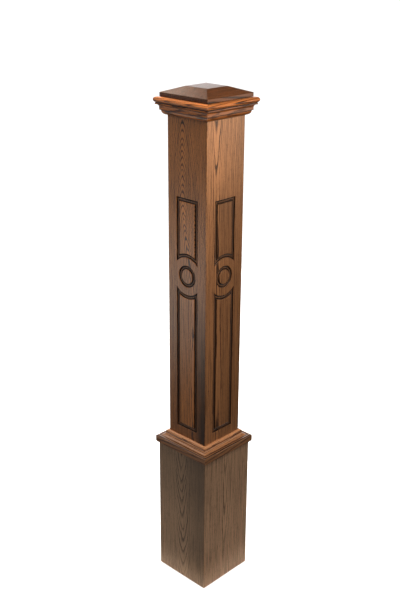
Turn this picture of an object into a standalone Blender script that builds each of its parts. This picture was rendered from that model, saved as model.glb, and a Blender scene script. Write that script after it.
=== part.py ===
# Box newel post in stained oak: a hollow square shaft of four mitred boards
# with routed panels, a boarded base round its foot, a collar moulding on the
# base, a crown moulding at the top and a low pyramid cap.
# Metres, +Z up, standing on the floor at z = 0, centred on the Z axis.

import math

import bmesh
import bpy
from mathutils import Vector
from mathutils.geometry import tessellate_polygon

MM = 0.001

# ---------------------------------------------------------------- sizes
SHAFT_SIDE = 120.65          # square shaft, 4 3/4 in
BOARD = 19.05                # 3/4 in boards
BASE_SIDE = 158.75           # square base, 6 1/4 in
BASE_TOP = 363.2
CAP_SIDE = 145.8
CAP_BOTTOM = 1221.5
CAP_EDGE = 9.4               # upright edge of the cap
CAP_FLAT = 65.0              # flat top of the cap
POST_HEIGHT = 1244.5         # 49 in
GAP = 0.3                    # play between pieces that touch
SHAFT_TOP = CAP_BOTTOM - GAP

# routed lines in each shaft face
GROOVE_W = 10.4
GROOVE_DEPTH = 3.2
CROWN_OF_BEAD = 1.9          # depth of the soft bead along the groove's middle
PANEL_HALF = 33.7            # outer edge of the panel groove from the centre
CIRCLE_Z = 818.5
CIRCLE_R = 26.9             # outer edge of the ring groove
ARC_R = 44.8                 # the panels' curved ends follow the circle
UPPER_PANEL_TOP = 1003.3
LOWER_PANEL_BOTTOM = 422.5
ARC_STEPS = 14
CIRCLE_STEPS = 36
FACE_TOP = 1180.9            # the finished face stops just under the crown
SET_BACK = 0.1               # the stretch behind the crown lies this much back

HALF = SHAFT_SIDE / 2
BASE_HALF = BASE_SIDE / 2

# which way each side faces: unit outward normal
SIDES = {
    "front": (0, -1),
    "right": (1, 0),
    "back": (0, 1),
    "left": (-1, 0),
}


# ---------------------------------------------------------------- scene
for old in list(bpy.data.objects):
    bpy.data.objects.remove(old, do_unlink=True)


def oak(name, colour, roughness):
    mat = bpy.data.materials.new(name)
    mat.use_nodes = True
    shader = mat.node_tree.nodes["Principled BSDF"]
    shader.inputs["Base Color"].default_value = (*colour, 1.0)
    shader.inputs["Roughness"].default_value = roughness
    shader.inputs["Metallic"].default_value = 0.0
    mat.diffuse_color = (*colour, 1.0)
    return mat


MATERIALS = {
    "shaft_oak": oak("shaft_oak", (0.235, 0.105, 0.048), 0.42),
    "base_oak": oak("base_oak", (0.150, 0.075, 0.040), 0.42),
    "collar_oak": oak("collar_oak", (0.260, 0.115, 0.045), 0.38),
    "crown_oak": oak("crown_oak", (0.330, 0.125, 0.040), 0.38),
    "cap_oak": oak("cap_oak", (0.200, 0.090, 0.045), 0.35),
}


def side_to_world(side, u, v, z):
    """u runs along the face, v is the distance out from the post's axis."""
    nx, ny = SIDES[side]
    return Vector((nx * v - ny * u, ny * v + nx * u, z)) * MM


def finish(name, bm, material, smooth_angle=None):
    bmesh.ops.remove_doubles(bm, verts=bm.verts, dist=1e-7)
    bmesh.ops.recalc_face_normals(bm, faces=bm.faces)
    mesh = bpy.data.meshes.new(name)
    bm.to_mesh(mesh)
    bm.free()
    mesh.materials.append(MATERIALS[material])
    if smooth_angle is not None:
        mesh.shade_smooth()
        mesh.set_sharp_from_angle(angle=math.radians(smooth_angle))
    obj = bpy.data.objects.new(name, mesh)
    bpy.context.scene.collection.objects.link(obj)
    obj.parent = POST
    return obj


POST = bpy.data.objects.new("newel_post", None)
bpy.context.scene.collection.objects.link(POST)


# ---------------------------------------------------------------- routed lines
def panel_loop(offset, upper):
    """The panel outline, a distance in from the groove's outer edge.

    Square corners at the far end, and a curved end that keeps an even
    distance from the circle."""
    half = PANEL_HALF - offset
    radius = ARC_R + offset
    reach = math.asin(half / radius)
    sign = 1 if upper else -1
    far = UPPER_PANEL_TOP - offset if upper else LOWER_PANEL_BOTTOM + offset
    points = [(half, far), (-half, far)]
    for i in range(ARC_STEPS + 1):
        t = -reach + 2 * reach * i / ARC_STEPS
        points.append((radius * math.sin(t),
                       CIRCLE_Z + sign * radius * math.cos(t)))
    return points


def circle_loop(offset):
    radius = CIRCLE_R - offset
    return [(radius * math.cos(2 * math.pi * i / CIRCLE_STEPS),
             CIRCLE_Z + radius * math.sin(2 * math.pi * i / CIRCLE_STEPS))
            for i in range(CIRCLE_STEPS)]


def groove_profile():
    """Distance across the groove and depth: a steep lip on each side and a
    soft bead between the two."""
    w, d, c = GROOVE_W, GROOVE_DEPTH, CROWN_OF_BEAD
    return [(0.0, 0.0), (0.4, 0.8 * d), (0.15 * w, d), (0.30 * w, 0.5 * (c + d)),
            (0.50 * w, c), (0.70 * w, 0.5 * (c + d)), (0.85 * w, d),
            (w - 0.4, 0.8 * d), (w, 0.0)]


def fill_flat(bm, loops, to_vert):
    """Fill a flat face: the first loop is its outline, the others its holes."""
    flat = [[Vector((p[0], p[1], 0)) for p in loop] for loop in loops]
    verts = [v for loop in to_vert for v in loop]
    for tri in tessellate_polygon(flat):
        corners = [verts[i] for i in tri]
        if len(set(corners)) == 3:
            bm.faces.new(corners)


def routed_groove(bm, side, loop_at):
    """Rings of the groove from its outer lip to its inner lip."""
    rings = []
    for across, depth in groove_profile():
        rings.append([bm.verts.new(side_to_world(side, u, HALF - depth, z))
                      for u, z in loop_at(across)])
    for ring, following in zip(rings, rings[1:]):
        n = len(ring)
        for i in range(n):
            j = (i + 1) % n
            bm.faces.new((ring[i], ring[j], following[j], following[i]))
    fill_flat(bm, [loop_at(GROOVE_W)], [rings[-1]])
    return rings[0]


# ---------------------------------------------------------------- boards
def mitred_board(bm, side, outer, thickness, levels):
    """A board whose long edges are cut at 45 degrees to meet its neighbours.

    levels: (height, how far the face lies back there), upwards. Returns the
    outer corners at each level, and their flat places. The outer face itself
    is left open."""
    play = GAP / 2 * math.sqrt(2)
    inner = outer - thickness
    edge = {s: [bm.verts.new(side_to_world(side, s * (outer - d - play),
                                           outer - d, z))
                for z, d in levels] for s in (-1, 1)}
    back = {s: [bm.verts.new(side_to_world(side, s * (inner - play), inner, z))
                for z in (levels[0][0], levels[-1][0])] for s in (-1, 1)}
    bm.faces.new((back[-1][0], back[-1][1], back[1][1], back[1][0]))
    bm.faces.new((edge[-1][0], edge[1][0], back[1][0], back[-1][0]))
    bm.faces.new((edge[-1][-1], back[-1][1], back[1][1], edge[1][-1]))
    for s in (-1, 1):
        bm.faces.new(edge[s] + [back[s][1], back[s][0]])
    rows = [(edge[-1][i], edge[1][i]) for i in range(len(levels))]
    flat = [((-(outer - d - play), z), (outer - d - play, z)) for z, d in levels]
    return rows, flat


def face_between(bm, rows, i):
    (a, b), (c, d) = rows[i], rows[i + 1]
    bm.faces.new((a, b, d, c))


def shaft_board(side):
    bm = bmesh.new()
    rows, flat = mitred_board(bm, side, HALF, BOARD,
                              [(0.0, 0.0), (FACE_TOP, 0.0), (FACE_TOP, SET_BACK),
                               (SHAFT_TOP, SET_BACK)])
    outlines = [
        (lambda d: panel_loop(d, True)),
        circle_loop,
        (lambda d: panel_loop(d, False)),
    ]
    loops = [[flat[0][0], flat[0][1], flat[1][1], flat[1][0]]]
    verts = [[rows[0][0], rows[0][1], rows[1][1], rows[1][0]]]
    for loop_at in outlines:
        verts.append(routed_groove(bm, side, loop_at))
        loops.append(loop_at(0.0))
    fill_flat(bm, loops, verts)
    face_between(bm, rows, 1)
    face_between(bm, rows, 2)
    return finish(f"shaft_board_{side}", bm, "shaft_oak", 30)


def base_board(side):
    bm = bmesh.new()
    rows, _ = mitred_board(bm, side, BASE_HALF, BASE_HALF - HALF - GAP,
                           [(0.0, 0.0), (BASE_TOP, 0.0)])
    face_between(bm, rows, 0)
    return finish(f"base_board_{side}", bm, "base_oak")


# ---------------------------------------------------------------- mouldings
def arc(cx, cz, r, start, end, steps):
    """Points on an arc, angles in degrees, 0 pointing away from the shaft."""
    out = []
    for i in range(steps + 1):
        t = math.radians(start + (end - start) * i / steps)
        out.append((cx + r * math.cos(t), cz + r * math.sin(t)))
    return out


def collar_profile():
    """(distance out from the shaft face, height), from the back, upwards."""
    z = BASE_TOP + GAP
    return (
        [(GAP, z), (21.6, z)]
        + arc(21.6, z + 3.3, 3.3, -60, 0, 3)          # eased lower lip
        + arc(21.3, z + 15.9, 3.6, 0, 80, 4)          # eased upper lip
        + [(18.5, z + 19.2)]                          # quirk
        + arc(16.2, z + 29.3, 9.9, -95, -168, 5)      # cove up to the fillet
        + [(6.5, z + 29.8)]                           # upright fillet
        + arc(1.7, z + 30.2, 4.8, 0, 90, 4)           # rounded top
        + [(GAP, z + 35.0)]
    )


def crown_profile():
    top = SHAFT_TOP
    return (
        [(GAP, top - 39.8), (1.1, top - 39.8)]
        + arc(0.4, top - 29.9, 9.6, -72, 0, 5)        # ovolo
        + [(12.9, top - 28.7), (12.9, top - 25.9)]    # step and fillet
        + arc(19.0, top - 22.4, 5.9, 178, 92, 5)      # cove
        + [(19.7, top - 16.3), (19.7, top - 13.4), (18.9, top - 12.6)]
        + arc(16.75, top - 6.2, 6.0, -64, 90, 9)      # torus nose
        + [(GAP, top - 0.2)]
    )


def mitred_moulding(name, side, profile, material):
    """One straight length, cut at 45 degrees at both ends."""
    bm = bmesh.new()
    play = GAP / 2 * math.sqrt(2)
    ends = []
    for s in (-1, 1):
        ends.append([bm.verts.new(side_to_world(side, s * (HALF + x - play),
                                                HALF + x, z))
                     for x, z in profile])
    n = len(profile)
    for i in range(n):
        j = (i + 1) % n
        bm.faces.new((ends[0][i], ends[0][j], ends[1][j], ends[1][i]))
    for end in ends:
        fill_flat(bm, [profile], [end])
    return finish(name, bm, material, 32)


# ---------------------------------------------------------------- cap
def cap():
    """A square block with an upright edge, four slopes and a flat top."""
    bm = bmesh.new()
    levels = [
        (CAP_SIDE / 2 - 0.6, CAP_BOTTOM),
        (CAP_SIDE / 2, CAP_BOTTOM + 0.6),
        (CAP_SIDE / 2, CAP_BOTTOM + CAP_EDGE - 0.5),
        (CAP_SIDE / 2 - 0.7, CAP_BOTTOM + CAP_EDGE),
        (CAP_FLAT / 2, POST_HEIGHT),
    ]
    rings = []
    for half, z in levels:
        rings.append([bm.verts.new(Vector((x * half, y * half, z)) * MM)
                      for x, y in ((-1, -1), (1, -1), (1, 1), (-1, 1))])
    for low, high in zip(rings, rings[1:]):
        for i in range(4):
            j = (i + 1) % 4
            bm.faces.new((low[i], low[j], high[j], high[i]))
    bm.faces.new(rings[0][::-1])
    bm.faces.new(rings[-1])
    return finish("cap", bm, "cap_oak")


# ---------------------------------------------------------------- the post
for side_name in SIDES:
    shaft_board(side_name)
    base_board(side_name)
    mitred_moulding(f"collar_moulding_{side_name}", side_name,
                    collar_profile(), "collar_oak")
    mitred_moulding(f"crown_moulding_{side_name}", side_name,
                    crown_profile(), "crown_oak")
cap()
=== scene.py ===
import math

import bmesh
import bpy
from mathutils import Matrix, Vector
from mathutils.geometry import tessellate_polygon


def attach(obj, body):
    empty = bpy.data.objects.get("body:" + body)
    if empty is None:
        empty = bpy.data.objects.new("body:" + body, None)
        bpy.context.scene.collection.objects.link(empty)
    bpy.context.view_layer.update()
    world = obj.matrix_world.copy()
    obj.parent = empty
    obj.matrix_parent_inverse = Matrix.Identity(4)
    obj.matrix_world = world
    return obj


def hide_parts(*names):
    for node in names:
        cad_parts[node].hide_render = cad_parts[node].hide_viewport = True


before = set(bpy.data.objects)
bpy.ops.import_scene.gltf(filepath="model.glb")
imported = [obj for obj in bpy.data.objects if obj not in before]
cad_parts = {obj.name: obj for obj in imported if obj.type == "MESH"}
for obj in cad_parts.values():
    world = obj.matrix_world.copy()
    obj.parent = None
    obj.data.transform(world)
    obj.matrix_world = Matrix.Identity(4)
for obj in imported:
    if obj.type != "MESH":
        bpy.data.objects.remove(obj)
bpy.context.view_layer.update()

MM = 0.001

# ------------------------------------------------------------------ sizes (mm)
HALF = 60.325            # shaft
BOARD = 19.05
BASE_HALF = 79.375
BASE_TOP = 363.2
SHAFT_TOP = 1221.2
CAP_BOTTOM = 1221.5
CAP_HALF = 72.9
CAP_EDGE = 9.4
CAP_FLAT = 32.5
POST_HEIGHT = 1244.5
SEAM = 0.02              # glued mitres, sanded flush

GROOVE_W = 10.4
GROOVE_DEPTH = 3.3
BEAD_DEPTH = 1.9
PANEL_HALF = 33.7
CIRCLE_Z = 818.5
CIRCLE_R = 26.9
ARC_R = 44.8
UPPER_PANEL_TOP = 1003.3
LOWER_PANEL_BOTTOM = 422.5

SIDES = {"front": (0, -1), "right": (1, 0), "back": (0, 1), "left": (-1, 0)}


def to_world(side, u, v, z):
    nx, ny = SIDES[side]
    return Vector((nx * v - ny * u, ny * v + nx * u, z)) * MM


# ------------------------------------------------------------------ node graphs
class Graph:
    """Short hand for building a node tree."""

    def __init__(self, tree):
        self.tree = tree
        self.n = tree.nodes
        self.l = tree.links
        self.count = 0

    def add(self, kind, **props):
        node = self.n.new(kind)
        self.count += 1
        node.location = (200 * (self.count % 12), -220 * (self.count // 12))
        for key, value in props.items():
            setattr(node, key, value)
        return node

    def put(self, socket, value):
        if hasattr(value, "is_output"):
            self.l.new(value, socket)
        elif value is not None:
            socket.default_value = value

    def m(self, op, a, b=None, c=None, clamp=False):
        node = self.add("ShaderNodeMath", operation=op, use_clamp=clamp)
        self.put(node.inputs[0], a)
        if b is not None:
            self.put(node.inputs[1], b)
        if c is not None:
            self.put(node.inputs[2], c)
        return node.outputs[0]

    def add_(self, a, b):
        return self.m("ADD", a, b)

    def mul(self, a, b):
        return self.m("MULTIPLY", a, b)

    def sub(self, a, b):
        return self.m("SUBTRACT", a, b)

    def step(self, x, lo, hi, smooth=True):
        """0 below lo, 1 above hi."""
        node = self.add("ShaderNodeMapRange",
                        interpolation_type="SMOOTHSTEP" if smooth else "LINEAR",
                        clamp=True)
        self.put(node.inputs["Value"], x)
        node.inputs["From Min"].default_value = lo
        node.inputs["From Max"].default_value = hi
        return node.outputs[0]

    def combine(self, x, y, z):
        node = self.add("ShaderNodeCombineXYZ")
        for socket, value in zip(node.inputs, (x, y, z)):
            self.put(socket, value)
        return node.outputs[0]

    def dot(self, a, b):
        node = self.add("ShaderNodeVectorMath", operation="DOT_PRODUCT")
        self.put(node.inputs[0], a)
        self.put(node.inputs[1], b)
        return node.outputs["Value"]

    def noise(self, vector, detail=2.0, rough=0.5, dims="3D", w=None, lac=2.0):
        node = self.add("ShaderNodeTexNoise", noise_dimensions=dims)
        if vector is not None and dims != "1D":
            self.put(node.inputs["Vector"], vector)
        if w is not None:
            self.put(node.inputs["W"], w)
        node.inputs["Scale"].default_value = 1.0
        node.inputs["Detail"].default_value = detail
        node.inputs["Roughness"].default_value = rough
        node.inputs["Lacunarity"].default_value = lac
        return node.outputs[0]

    def mix(self, fac, a, b, blend="MIX"):
        node = self.add("ShaderNodeMix", data_type="RGBA", blend_type=blend)
        self.put(node.inputs[0], fac)
        for socket, value in ((node.inputs[6], a), (node.inputs[7], b)):
            if isinstance(value, tuple):
                socket.default_value = (*value, 1.0) if len(value) == 3 else value
            else:
                self.put(socket, value)
        return node.outputs[2]

    def soft_ramp(self, x, knots, start_slope, soft):
        """A smooth line in x that bends to a new slope at each knot.

        knots: [(place, slope beyond it)]."""
        out = self.mul(x, start_slope)
        slope = start_slope
        for place, new in knots:
            d = self.sub(x, place)
            root = self.m("SQRT", self.add_(self.mul(d, d), soft * soft))
            ramp = self.mul(self.add_(d, root), 0.5 * (new - slope))
            out = self.add_(out, ramp)
            slope = new
        return out


# ------------------------------------------------------------------ oak
def oak(name, across, out, along, face, seed,
        light=(0.30, 0.115, 0.045), dark=(0.085, 0.032, 0.014),
        pith=(-14.0, 16.0), drift=(0.0, 0.0, 1.0), slope=0.02, bends=(),
        soft=25.0, spacing=2.7, wander=2.2, ripple=0.35, ring_depth=0.80,
        pore_depth=0.75, streak=0.24, blotch=0.10, roughness=0.36,
        glaze=False, glaze_depth=(1.65, 2.45), lines=(), tone_and_painted_light=1.0, raw_inside=None,
        stain_and_shade_shift=(), painted_corner_shade=None, crowd=None, mid=0.48, bump=0.12,
        field=None, ior=1.42):
    """Flat-sawn oak, as growth rings round a pith line behind the face.

    across, out, along: unit vectors of the board, in the object's own frame.
    face: where the finished face lies on the out axis, in mm."""
    mat = bpy.data.materials.new(name)
    mat.use_nodes = True
    g = Graph(mat.node_tree)
    shader = g.n["Principled BSDF"]
    shader.location = (2800, 0)

    coord = g.add("ShaderNodeTexCoord").outputs["Object"]
    # millimetres
    scaled = g.add("ShaderNodeVectorMath", operation="SCALE")
    g.put(scaled.inputs[0], coord)
    scaled.inputs["Scale"].default_value = 1000.0
    p = scaled.outputs[0]
    u = g.dot(p, across)
    w = g.sub(g.dot(p, out), face)
    z = g.dot(p, along)

    # growth rings
    q0, q1, za, zb = pith[0], drift[0], drift[1], drift[2]
    shift = g.mul(g.step(z, za, zb), q1)
    warp1 = g.noise(g.combine(g.add_(g.mul(u, 0.022), seed * 3.1),
                              g.mul(w, 0.022), g.mul(z, 0.0075)), 1.5)
    warp2 = g.noise(g.combine(g.mul(u, 0.16), g.add_(g.mul(w, 0.16), seed * 1.7),
                              g.mul(z, 0.035)), 2.0)
    du = g.sub(g.sub(u, q0), shift)
    dw = g.add_(w, pith[1])
    r = g.m("SQRT", g.add_(g.mul(du, du), g.mul(dw, dw)))
    t = g.add_(r, g.soft_ramp(z, bends, slope, soft))
    if crowd is not None:
        # rings stand closer and steeper away from the middle of the figure
        beyond = g.m("MAXIMUM", g.sub(g.m("ABSOLUTE", du), crowd[0]), 0.0)
        t = g.add_(t, g.mul(g.mul(beyond, beyond), crowd[1]))
    t = g.add_(t, g.mul(g.sub(warp1, 0.5), 2 * wander))
    t = g.add_(t, g.mul(g.sub(warp2, 0.5), 2 * ripple))
    phase = g.mul(t, 1.0 / spacing)
    uneven = g.noise(None, 1.0, dims="1D", w=g.add_(g.mul(phase, 0.43), seed))
    phase = g.add_(phase, g.mul(uneven, 0.9))
    frac = g.m("FRACT", phase)
    early = g.mul(g.step(frac, 0.0, 0.10),
                  g.sub(1.0, g.step(frac, 0.16, 0.58)))
    ring_id = g.m("FLOOR", phase)
    year = g.noise(None, 0.0, dims="1D", w=g.add_(g.mul(ring_id, 7.31), seed * 2.0))
    early = g.mul(early, g.add_(0.55, g.mul(year, 0.9)))

    # open pores, drawn out along the grain and crowded into the early wood
    pores_a = g.noise(g.combine(g.mul(u, 1.05), g.mul(w, 1.05),
                                g.add_(g.mul(z, 0.055), seed)), 2.5, 0.65)
    pores_b = g.noise(g.combine(g.mul(u, 4.2), g.mul(w, 4.2),
                                g.add_(g.mul(z, 0.16), seed * 5.0)), 1.0, 0.5)
    pores = g.mul(g.step(pores_a, 0.53, 0.68), g.add_(0.22, g.mul(early, 0.95)))
    fibre = g.noise(g.combine(g.mul(u, 0.62), g.mul(w, 0.62),
                              g.add_(g.mul(z, 0.011), seed * 2.3)), 3.0, 0.6)
    broad = g.noise(g.combine(g.mul(u, 0.10), g.mul(w, 0.10),
                              g.add_(g.mul(z, 0.0032), seed * 4.1)), 2.0, 0.55)
    cloud = g.noise(g.combine(g.mul(u, 0.012), g.mul(w, 0.012),
                              g.add_(g.mul(z, 0.008), seed * 0.7)), 2.0, 0.5)
    flecks = g.noise(g.combine(g.mul(u, 0.30), g.mul(w, 0.30),
                               g.add_(g.mul(z, 0.0105), seed * 3.7)), 2.0, 0.62)
    # short rays, seen end on as fine dark ticks
    rays = g.noise(g.combine(g.mul(u, 0.75), g.mul(w, 0.75),
                             g.add_(g.mul(z, 0.17), seed * 6.0)), 1.0)
    ticks = g.step(rays, 0.56, 0.72)

    depth = g.mul(early, ring_depth)
    depth = g.add_(depth, g.mul(pores, pore_depth))
    depth = g.add_(depth, g.mul(ticks, 0.30))
    depth = g.add_(depth, g.mul(g.sub(pores_b, 0.5), 0.22))
    depth = g.add_(depth, g.mul(g.sub(fibre, 0.5), streak * 3.0))
    depth = g.add_(depth, g.mul(g.sub(broad, 0.5), streak * 2.6))
    depth = g.add_(depth, g.mul(g.sub(flecks, 0.5), mid * 3.4))
    depth = g.m("ADD", depth, g.mul(g.sub(cloud, 0.5), blotch * 3.0), clamp=True)
    colour = g.mix(depth, light, dark)

    # the board's tone and its drift in strength: partly the stain's own, partly painted light and shade, bands
    # and faces made lighter or darker where more or less light falls
    value = g.add_(tone_and_painted_light, g.mul(g.sub(cloud, 0.5), blotch * 1.5))
    for axis, lo, hi, amount in stain_and_shade_shift:
        source = {"u": u, "z": z, "w": w}[axis]
        value = g.add_(value, g.mul(g.step(source, lo, hi), amount))
    if painted_corner_shade is not None:
        ua, ub, za_, zb_, amount = painted_corner_shade
        # painted shade: a darker patch by the board's corner, where less light reaches
        patch = g.mul(g.step(u, ua, ub), g.step(z, za_, zb_))
        value = g.add_(value, g.mul(patch, amount))
    if field is not None:
        # the panels' own fields took the stain a little differently
        reach_in = g.sub(z, CIRCLE_Z)
        away = g.m("SQRT", g.add_(g.mul(u, u), g.mul(reach_in, reach_in)))
        inside = g.mul(g.step(g.m("ABSOLUTE", u), PANEL_HALF - 1.5, PANEL_HALF - 6.0),
                       g.step(away, ARC_R + 1.5, ARC_R + 6.0))
        inside = g.mul(inside, g.step(z, LOWER_PANEL_BOTTOM + 1.5,
                                      LOWER_PANEL_BOTTOM + 6.0))
        inside = g.mul(inside, g.step(z, UPPER_PANEL_TOP - 1.5,
                                      UPPER_PANEL_TOP - 6.0))
        upper = g.step(z, CIRCLE_Z - 20.0, CIRCLE_Z + 20.0)
        amount = g.add_(field[0], g.mul(upper, field[1] - field[0]))
        value = g.add_(value, g.mul(inside, amount))
    colour = g.mix(1.0, colour, g.combine(value, value, value), "MULTIPLY")

    # stain caught in the quirks and steps of a moulding
    for centre, half, amount in lines:
        gap = g.m("ABSOLUTE", g.sub(u, centre))
        colour = g.mix(g.mul(g.step(gap, half * 1.6, half * 0.4), amount), colour,
                       (0.016, 0.0075, 0.005))
    if glaze:
        # stain lies thick in the routed lines
        into = g.m("MAXIMUM", g.step(w, -glaze_depth[0], -glaze_depth[1]),
                   g.mul(g.step(w, -0.1, -0.7), 0.60))
        into = g.mul(into, g.step(w, -6.5, -5.5))
        colour = g.mix(g.mul(into, 0.94), colour, (0.011, 0.0055, 0.0038))
    if raw_inside is not None:
        inner = g.sub(1.0, g.step(w, -raw_inside, -raw_inside + 0.6))
        raw = g.mix(depth, (0.42, 0.27, 0.15), (0.24, 0.135, 0.065))
        colour = g.mix(inner, colour, raw)
    g.put(shader.inputs["Base Color"], colour)

    rough = g.add_(roughness, g.mul(g.sub(fibre, 0.5), 0.10))
    rough = g.m("ADD", rough, g.mul(pores, 0.16), clamp=True)
    g.put(shader.inputs["Roughness"], rough)
    shader.inputs["IOR"].default_value = ior

    height = g.add_(g.mul(pores, -0.6), g.mul(early, -0.35))
    height = g.add_(height, g.mul(pores_b, 0.12))
    bump_node = g.add("ShaderNodeBump")
    bump_node.inputs["Strength"].default_value = bump
    bump_node.inputs["Distance"].default_value = 0.0004
    g.put(bump_node.inputs["Height"], height)
    g.put(shader.inputs["Normal"], bump_node.outputs[0])
    mat.diffuse_color = (*light, 1.0)
    return mat


# ------------------------------------------------------------------ mesh tools
def finish(name, bm, material, node, smooth_angle=28):
    bmesh.ops.remove_doubles(bm, verts=bm.verts, dist=2e-7)
    bmesh.ops.recalc_face_normals(bm, faces=bm.faces)
    mesh = bpy.data.meshes.new(name)
    bm.to_mesh(mesh)
    bm.free()
    mesh.materials.append(material)
    mesh.shade_smooth()
    mesh.set_sharp_from_angle(angle=math.radians(smooth_angle))
    obj = bpy.data.objects.new(name, mesh)
    bpy.context.scene.collection.objects.link(obj)
    even = obj.modifiers.new("even_normals", "WEIGHTED_NORMAL")
    even.keep_sharp = True
    even.weight = 80
    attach(obj, "root")
    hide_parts(node)
    return obj


def fill_flat(bm, loops, verts):
    flat = [[Vector((p[0], p[1], 0)) for p in loop] for loop in loops]
    everyone = [v for loop in verts for v in loop]
    for tri in tessellate_polygon(flat):
        corners = [everyone[i] for i in tri]
        if len(set(corners)) == 3:
            bm.faces.new(corners)


def arc(cx, cz, r, start, end, steps):
    out = []
    for i in range(steps + 1):
        t = math.radians(start + (end - start) * i / steps)
        out.append((cx + r * math.cos(t), cz + r * math.sin(t)))
    return out


# ------------------------------------------------------------------ boards
def board_section(outer, inner, rho, ease=0.0):
    """(across, out) points of a mitred board, its outer arrises rounded."""
    o = outer - ease
    left = [(-(inner - SEAM), inner)]
    for i in range(5):
        t = math.radians(45 + 45 * i / 4)
        left.append((-(o - rho + rho * math.cos(t)) + SEAM,
                     o - rho + rho * math.sin(t)))
    return left + [(-x, y) for x, y in reversed(left)]


def board(name, side, outer, thickness, z0, z1, material, node,
          holes=(), rho=0.8, ease=0.5):
    bm = bmesh.new()
    inner = outer - thickness
    rings = []
    for z, e in ((z0, ease), (z0 + ease, 0.0), (z1 - ease, 0.0), (z1, ease)):
        rings.append([bm.verts.new(to_world(side, u, v, z))
                      for u, v in board_section(outer, inner, rho, e)])
    n = len(rings[0])
    flat_at = n // 2 - 1
    for k, (low, high) in enumerate(zip(rings, rings[1:])):
        for i in range(n):
            j = (i + 1) % n
            if k == 1 and i == flat_at and holes:
                continue
            bm.faces.new((low[i], low[j], high[j], high[i]))
    bm.faces.new(rings[0][::-1])
    bm.faces.new(rings[-1])
    if holes:
        half = outer - rho - SEAM
        half = board_section(outer, inner, rho)[flat_at + 1][0]
        loops = [[(-half, z0 + ease), (half, z0 + ease),
                  (half, z1 - ease), (-half, z1 - ease)]]
        verts = [[rings[1][flat_at], rings[1][flat_at + 1],
                  rings[2][flat_at + 1], rings[2][flat_at]]]
        for loop_at in holes:
            loops.append(loop_at(0.0))
            verts.append(routed(bm, side, loop_at))
        fill_flat(bm, loops, verts)
    return finish(name, bm, material, node)


def groove_profile():
    """(distance across, depth): eased lip, steep wall, quirk, soft bead."""
    w, d, c = GROOVE_W, GROOVE_DEPTH, BEAD_DEPTH
    half = [(0.0, 0.0), (0.10, 0.015), (0.20, 0.06), (0.30, 0.15), (0.38, 0.30),
            (0.44, 0.52), (0.62, 1.35), (0.80, 2.15), (0.95, 2.68),
            (1.15, 3.02), (1.42, 3.22), (1.75, d), (2.05, 3.24)]
    left = 2.35
    bead = []
    for i in range(11):
        s = -1 + 2 * i / 10
        x = w / 2 + s * (w / 2 - left)
        bead.append((x, c + (d - 0.25 - c) * abs(s) ** 2.2))
    return half + bead + [(w - x, y) for x, y in reversed(half)]


def routed(bm, side, loop_at):
    rings = []
    for across, depth in groove_profile():
        rings.append([bm.verts.new(to_world(side, u, HALF - depth, z))
                      for u, z in loop_at(across)])
    for ring, following in zip(rings, rings[1:]):
        n = len(ring)
        for i in range(n):
            j = (i + 1) % n
            bm.faces.new((ring[i], ring[j], following[j], following[i]))
    fill_flat(bm, [loop_at(GROOVE_W)], [rings[-1]])
    return rings[0]


def panel_loop(offset, upper, steps=56):
    half = PANEL_HALF - offset
    radius = ARC_R + offset
    reach = math.asin(half / radius)
    sign = 1 if upper else -1
    far = UPPER_PANEL_TOP - offset if upper else LOWER_PANEL_BOTTOM + offset
    points = [(half, far), (-half, far)]
    for i in range(steps + 1):
        t = -reach + 2 * reach * i / steps
        points.append((radius * math.sin(t), CIRCLE_Z + sign * radius * math.cos(t)))
    return points


def circle_loop(offset, steps=112):
    radius = CIRCLE_R - offset
    return [(radius * math.cos(2 * math.pi * i / steps),
             CIRCLE_Z + radius * math.sin(2 * math.pi * i / steps))
            for i in range(steps)]


ROUTED = [lambda d: panel_loop(d, True), circle_loop, lambda d: panel_loop(d, False)]


# ------------------------------------------------------------------ mouldings
def collar_profile():
    z = BASE_TOP + 0.3
    return (
        [(0.3, z), (20.6, z), (21.3, z)]
        + arc(21.55, z + 3.35, 3.3, -84, 0, 9)
        + arc(21.3, z + 15.9, 3.55, 0, 88, 10)
        + arc(21.2, z + 19.45, 0.35, 0, 90, 3)[1:]
        + [(19.2, z + 19.6), (18.6, z + 19.35), (18.2, z + 18.9), (17.7, z + 18.9),
           (17.3, z + 19.3)]
        + arc(16.2, z + 29.3, 9.9, -92, -170, 14)
        + [(6.4, z + 28.2), (6.4, z + 29.6)]
        + arc(1.75, z + 30.15, 4.75, 0, 90, 12)
        + [(0.3, z + 35.0)]
    )


def crown_profile():
    top = SHAFT_TOP
    return (
        [(0.3, top - 39.8), (0.9, top - 39.85), (1.3, top - 39.6)]
        + arc(0.4, top - 29.9, 9.55, -76, 0, 16)
        + [(10.1, top - 29.6), (10.3, top - 29.05), (10.9, top - 28.8),
           (12.4, top - 28.75), (12.8, top - 28.55), (12.95, top - 28.1),
           (12.95, top - 26.2)]
        + arc(19.0, top - 22.4, 6.0, 178, 94, 13)
        + [(19.4, top - 16.45), (19.65, top - 16.2), (19.7, top - 15.8),
           (19.7, top - 14.0), (19.55, top - 13.7), (19.2, top - 13.35),
           (18.7, top - 12.9), (18.7, top - 12.3)]
        + arc(16.75, top - 6.2, 6.0, -70, 90, 22)
        + [(0.3, top - 0.2)]
    )


def moulding(name, side, profile, material, node):
    bm = bmesh.new()
    ends = []
    for s in (-1, 1):
        ends.append([bm.verts.new(to_world(side, s * (HALF + x - SEAM), HALF + x, z))
                     for x, z in profile])
    n = len(profile)
    for i in range(n):
        j = (i + 1) % n
        bm.faces.new((ends[0][i], ends[0][j], ends[1][j], ends[1][i]))
    for end in ends:
        fill_flat(bm, [profile], [end])
    return finish(name, bm, material, node, 24)


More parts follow.
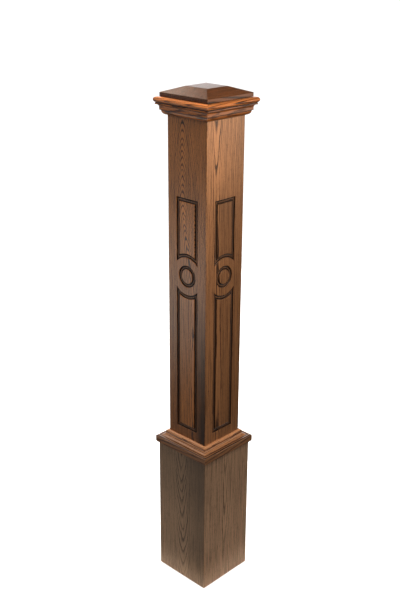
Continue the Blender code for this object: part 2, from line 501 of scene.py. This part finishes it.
# ------------------------------------------------------------------ cap
def cap(material):
    bm = bmesh.new()
    levels = [(CAP_HALF, CAP_BOTTOM), (CAP_HALF, CAP_BOTTOM + CAP_EDGE),
              (CAP_FLAT, POST_HEIGHT)]
    rings = []
    for half, z in levels:
        rings.append([bm.verts.new(Vector((x * half, y * half, z)) * MM)
                      for x, y in ((-1, -1), (1, -1), (1, 1), (-1, 1))])
    for low, high in zip(rings, rings[1:]):
        for i in range(4):
            j = (i + 1) % 4
            bm.faces.new((low[i], low[j], high[j], high[i]))
    bm.faces.new(rings[0][::-1])
    bm.faces.new(rings[-1])
    bmesh.ops.recalc_face_normals(bm, faces=bm.faces)
    bmesh.ops.bevel(bm, geom=list(bm.edges), offset=0.9 * MM, offset_type="OFFSET",
                    segments=4, profile=0.5, affect="EDGES", clamp_overlap=True)
    return finish("post_cap", bm, material, "cap", 30)


# ------------------------------------------------------------------ the post
def axes(side):
    nx, ny = SIDES[side]
    return (-ny, nx, 0.0), (float(nx), float(ny), 0.0)


UP = (0.0, 0.0, 1.0)
# per-face colours: partly each board's own colour, partly painted light, the faces given lighter and darker
# copies of one stain for how light falls on each
SHAFT_TONES_AND_LIGHT = {
    "front": dict(light=(0.610, 0.225, 0.060), dark=(0.042, 0.014, 0.0050)),
    "right": dict(light=(0.450, 0.194, 0.078), dark=(0.036, 0.014, 0.0060)),
    "back": dict(light=(0.520, 0.205, 0.066), dark=(0.056, 0.020, 0.0070)),
    "left": dict(light=(0.520, 0.205, 0.066), dark=(0.056, 0.020, 0.0070)),
}
# per-face colours: partly each board's own colour, partly painted light, the faces given lighter and darker
# copies of one stain for how light falls on each
BASE_TONES_AND_LIGHT = {
    "front": dict(light=(0.575, 0.355, 0.208), dark=(0.076, 0.045, 0.028)),
    "right": dict(light=(0.665, 0.390, 0.228), dark=(0.092, 0.050, 0.030)),
    "back": dict(light=(0.580, 0.345, 0.200), dark=(0.110, 0.062, 0.035)),
    "left": dict(light=(0.580, 0.345, 0.200), dark=(0.110, 0.062, 0.035)),
}

SHAFT_GRAIN = {
    "front": dict(pith=(-14.0, 10.0), drift=(34.0, 1010.0, 740.0), slope=0.008,
                  bends=((880.0, 0.19),), soft=45.0, spacing=2.8, wander=2.8,
                  ripple=1.0, ring_depth=0.88, seed=1.3,
                  # painted shade: darker towards the bottom, and darker still by the front corner below
                  # mid-height, where less light falls
                  stain_and_shade_shift=(("z", 960.0, 1010.0, -0.07), ("z", 850.0, 700.0, -0.30), ("z", 640.0, 540.0, 0.09),
                               ("z", 540.0, 380.0, -0.13)),
                  painted_corner_shade=(20.0, 54.0, 800.0, 540.0, -0.58), field=(0.28, 0.21)),
    "right": dict(pith=(-30.0, 15.0), drift=(14.0, 1080.0, 640.0), slope=0.016,
                  bends=((650.0, 0.006), (1060.0, -0.055)), soft=40.0, tone_and_painted_light=1.12,
                  stain_and_shade_shift=(("u", -60.0, 60.0, -0.20), ("z", 1075.0, 990.0, -0.08),
                               # painted light and shade: darker towards the back edge and below the top block,
                               # lighter low down, following how the lamp over this face falls off
                               ("z", 780.0, 660.0, 0.08)),
                  spacing=3.4, ripple=0.8, ring_depth=0.80, seed=4.9, field=(-0.07, -0.24)),
    "back": dict(pith=(10.0, 20.0), drift=(-8.0, 300.0, 900.0), slope=0.05,
                 bends=((500.0, 0.015), (900.0, 0.08)), soft=60.0, spacing=3.0,
                 seed=8.2),
    "left": dict(pith=(18.0, 17.0), drift=(-20.0, 400.0, 1000.0), slope=-0.03,
                 bends=((700.0, 0.04),), soft=60.0, spacing=3.1, seed=11.7),
}
BASE_GRAIN = {
    "front": dict(pith=(5.0, 6.0), drift=(-6.0, 100.0, 300.0), slope=-0.23,
                  bends=((110.0, -0.20),), soft=20.0, spacing=7.6, wander=4.2,
                  ripple=2.0, ring_depth=0.52, crowd=(15.0, 0.07), seed=2.6,
                  # painted shade: darker high up, at the foot and by the front corner, where less light falls
                  stain_and_shade_shift=(("z", 150.0, 300.0, -0.21), ("z", 40.0, 2.0, -0.14)),
                  painted_corner_shade=(-30.0, 75.0, 0.0, 120.0, -0.27)),
    "right": dict(pith=(-9.0, 9.0), drift=(4.0, 0.0, 300.0), slope=-0.030,
                  bends=(), soft=20.0, spacing=4.6, wander=3.0, ripple=0.7,
                  ring_depth=0.55, seed=6.1,
                  # painted light and shade: lighter over the lower part, darker at the foot by the floor
                  tone_and_painted_light=0.94,
                  stain_and_shade_shift=(("z", 290.0, 130.0, 0.28), ("z", 46.0, 2.0, -0.34))),
    "back": dict(pith=(12.0, 24.0), drift=(0.0, 0.0, 1.0), slope=0.09, bends=(),
                 spacing=4.0, seed=9.4),
    "left": dict(pith=(-20.0, 22.0), drift=(0.0, 0.0, 1.0), slope=-0.07, bends=(),
                 spacing=3.8, seed=13.8),
}

# painted light and shade: one strength per crown run, the front run lighter and the right run darker, standing in
# for how light falls on each side
CROWN_PAINTED_LIGHT = {"front": 1.58, "right": 0.53, "back": 0.90, "left": 0.90}

for n, side in enumerate(SIDES):
    across, out = axes(side)
    board(f"shaft_panelled_board_{side}", side, HALF, BOARD, 0.0, SHAFT_TOP,
          oak(f"stained_oak_shaft_{side}", across, out, UP, HALF,
              glaze=True, raw_inside=10.0, **SHAFT_TONES_AND_LIGHT[side], **SHAFT_GRAIN[side]),
          f"shaft_board_{side}", holes=ROUTED)
    board(f"base_plain_board_{side}", side, BASE_HALF, BASE_HALF - HALF - 0.1,
          0.0, BASE_TOP,
          oak(f"stained_oak_base_{side}", across, out, UP, BASE_HALF,
              raw_inside=10.0, **BASE_TONES_AND_LIGHT[side], **BASE_GRAIN[side]),
          f"base_board_{side}", rho=0.9)
    moulding(f"collar_length_{side}", side, collar_profile(),
             oak(f"stained_oak_collar_{side}", UP, out, across, HALF, 20.5 + 3 * n,
                 light=(0.60, 0.264, 0.112), dark=(0.082, 0.033, 0.017),
                 pith=(390.0, 60.0 + 7 * n), slope=0.02, spacing=2.1, wander=1.5,
                 # painted highlight: the collar's top made lighter where light from above falls; the outer nose
                 # darker in the stain
                 stain_and_shade_shift=(("u", 389.5, 392.5, 0.50), ("w", 19.0, 22.5, -0.34)),
                 roughness=0.32, ring_depth=0.60, streak=0.12, mid=0.30,
                 lines=((363.6, 0.9, 0.9), (382.4, 0.6, 0.95), (391.2, 0.9, 0.75))),
             f"collar_moulding_{side}")
    moulding(f"crown_length_{side}", side, crown_profile(),
             oak(f"stained_oak_crown_{side}", UP, out, across, HALF, 31.2 + 3 * n,
                 light=(0.47, 0.148, 0.038), dark=(0.045, 0.013, 0.005),
                 pith=(1210.0, 55.0 + 9 * n), slope=0.03, spacing=2.1, wander=1.5,
                 # painted highlight: the crown's upper torus and top made lighter where light falls on them
                 stain_and_shade_shift=(("u", 1206.5, 1210.5, 0.32),), tone_and_painted_light=CROWN_PAINTED_LIGHT[side],
                 roughness=0.32, ring_depth=0.75, streak=0.20, mid=0.46, bump=0.22,
                 lines=((1181.5, 1.3, 0.95), (1192.3, 1.2, 0.97), (1204.9, 0.7, 0.9),
                        (1208.5, 1.2, 0.97))),
             f"crown_moulding_{side}")

cap(oak("stained_oak_cap", (1.0, 0.0, 0.0), UP, (0.0, 1.0, 0.0), POST_HEIGHT, 47.0,
        light=(0.128, 0.043, 0.014), dark=(0.014, 0.005, 0.002), pith=(170.0, 45.0),
        slope=0.03, spacing=3.4, roughness=0.34, mid=0.80, bump=0.40, ior=1.36))

# ------------------------------------------------------------------ stage
def plane(name, half, z):
    bm = bmesh.new()
    bmesh.ops.create_grid(bm, x_segments=1, y_segments=1, size=half)
    mesh = bpy.data.meshes.new(name)
    bm.to_mesh(mesh)
    bm.free()
    obj = bpy.data.objects.new(name, mesh)
    obj.location.z = z
    bpy.context.scene.collection.objects.link(obj)
    return obj


floor_mat = bpy.data.materials.new("pale_floor")
floor_mat.use_nodes = True
floor_shader = floor_mat.node_tree.nodes["Principled BSDF"]
floor_shader.inputs["Base Color"].default_value = (0.86, 0.86, 0.86, 1)
floor_shader.inputs["Roughness"].default_value = 0.9
floor_shader.inputs["Specular IOR Level"].default_value = 0.0

floor = plane("floor", 40.0, -0.0008)
floor.data.materials.append(floor_mat)
floor.visible_glossy = False
floor.visible_diffuse = False
near_floor = plane("near_floor", 0.108, -0.0004)
near_floor.visible_glossy = False
near_floor.data.materials.append(floor_mat)

LIGHTS = []


def area(name, place, aim, size, power, colour=(1, 1, 1), size_y=None):
    data = bpy.data.lights.new(name, "AREA")
    data.shape = "RECTANGLE"
    data.size = size
    data.size_y = size_y or size
    data.energy = power
    data.color = colour
    obj = bpy.data.objects.new(name, data)
    obj.location = place
    aim_at = Vector(aim) - Vector(place)
    obj.rotation_euler = aim_at.to_track_quat("-Z", "Y").to_euler()
    obj.visible_camera = False
    bpy.context.scene.collection.objects.link(obj)
    LIGHTS.append(obj)
    return obj


# a tall soft bank low on the left, a strong soft lamp over the right face
area("left_bank_1", (-1.2436, -0.8388, 0.10), (0, -0.06, 0.5), 0.34, 0.9, (1.0, 0.94, 0.86), 0.30)
area("left_bank_2", (-1.0230, -1.0970, 0.10), (0, -0.06, 0.5), 0.34, 1.5, (1.0, 0.94, 0.86), 0.30)
area("left_bank_3", (-1.2436, -0.8388, 0.38), (0, -0.06, 0.5), 0.34, 0.4, (1.0, 0.94, 0.86), 0.30)
area("left_bank_4", (-1.0230, -1.0970, 0.38), (0, -0.06, 0.5), 0.34, 1.4, (1.0, 0.94, 0.86), 0.30)
area("left_bank_5", (-1.2436, -0.8388, 0.68), (0, -0.06, 0.68), 0.34, 0.5, (1.0, 0.94, 0.86), 0.30)
area("left_bank_6", (-1.2436, -0.8388, 1.00), (0, -0.06, 1.0), 0.34, 0.5, (1.0, 0.94, 0.86), 0.30)
area("left_edge", (-0.9176, -0.2459, 1.4), (0, -0.06, 1.4), 0.35, 5.6, (1.0, 0.96, 0.90), 0.45)
area("right_edge", (1.2276, 1.3164, 0.95), (0.06, 0, 0.95), 0.60, 3.8, (1.0, 0.93, 0.82), 0.36)
area("right_low_1", (1.1782, -0.5494, 0.25), (0.06, 0, 0.20), 0.60, 1.0)
area("right_low_2", (1.2216, 0.4446, 0.4), (0.06, 0, 0.48), 0.60, 0.8)
area("right_high", (1.1782, -0.5494, 1.7), (0.06, 0, 1.39), 0.60, 1.0)
area("right_top", (0.54, -0.10, 1.36), (0.06, 0, 1.19), 0.28, 3.6, (1.0, 0.95, 0.86))
area("back_card", (-1.37, 1.43, 1.54), (0, 0, 1.2445), 0.70, 2.65, size_y=0.35)
area("back_top", (-1.45, 0.62, 2.14), (0, 0, 1.2), 0.50, 6.1, (1.0, 0.82, 0.68))
area("overhead", (0.05, -0.05, 2.9), (0, 0, 0.5), 1.00, 30.0)
area("back_fill", (-1.6, 1.6, 0.8), (0, 0, 0.6), 1.20, 14.0)
area("floor_card_left", (-0.24, -0.34, 0.001), (0, -0.08, 0.25), 0.40, 0.13)
area("floor_card_right", (0.34, 0.24, 0.001), (0.08, 0, 0.25), 0.40, 0.05)

# the floor's own light, so that the ground stays plain and pale
floor_sun = bpy.data.lights.new("floor_wash", "SUN")
floor_sun.energy = 4.3
floor_sun.angle = math.radians(60)
floor_sun_obj = bpy.data.objects.new("floor_wash", floor_sun)
floor_sun_obj.rotation_euler = (0, 0, 0)
bpy.context.scene.collection.objects.link(floor_sun_obj)
receivers = bpy.data.collections.new("floor_only")
receivers.objects.link(floor)
receivers.objects.link(near_floor)
floor_sun_obj.light_linking.receiver_collection = receivers

world = bpy.data.worlds.new("studio")
bpy.context.scene.world = world
world.use_nodes = True
back = world.node_tree.nodes["Background"]
back.inputs["Color"].default_value = (1, 1, 1, 1)
back.inputs["Strength"].default_value = 1.0
world.cycles_visibility.diffuse = False
world.cycles_visibility.glossy = False

# ------------------------------------------------------------------ camera
cam_data = bpy.data.cameras.new("camera")
cam_data.sensor_width = 36.0
cam_data.lens = 55.89
cam_data.clip_start = 0.05
cam_data.clip_end = 200.0
cam = bpy.data.objects.new("camera", cam_data)
bpy.context.scene.collection.objects.link(cam)
right = Vector((0.71643809, 0.69763278, 0.00499584))
up = Vector((-0.25782882, 0.25811127, 0.93107619))
fwd = Vector((-0.64825979, 0.66834652, -0.36479058))
cam.matrix_world = Matrix((
    (right.x, up.x, -fwd.x, 1.42062782),
    (right.y, up.y, -fwd.y, -1.48163559),
    (right.z, up.z, -fwd.z, 1.54881626),
    (0, 0, 0, 1),
))
bpy.context.scene.camera = cam
bpy.context.scene.view_settings.view_transform = "Standard"
bpy.context.scene.view_settings.look = "None"
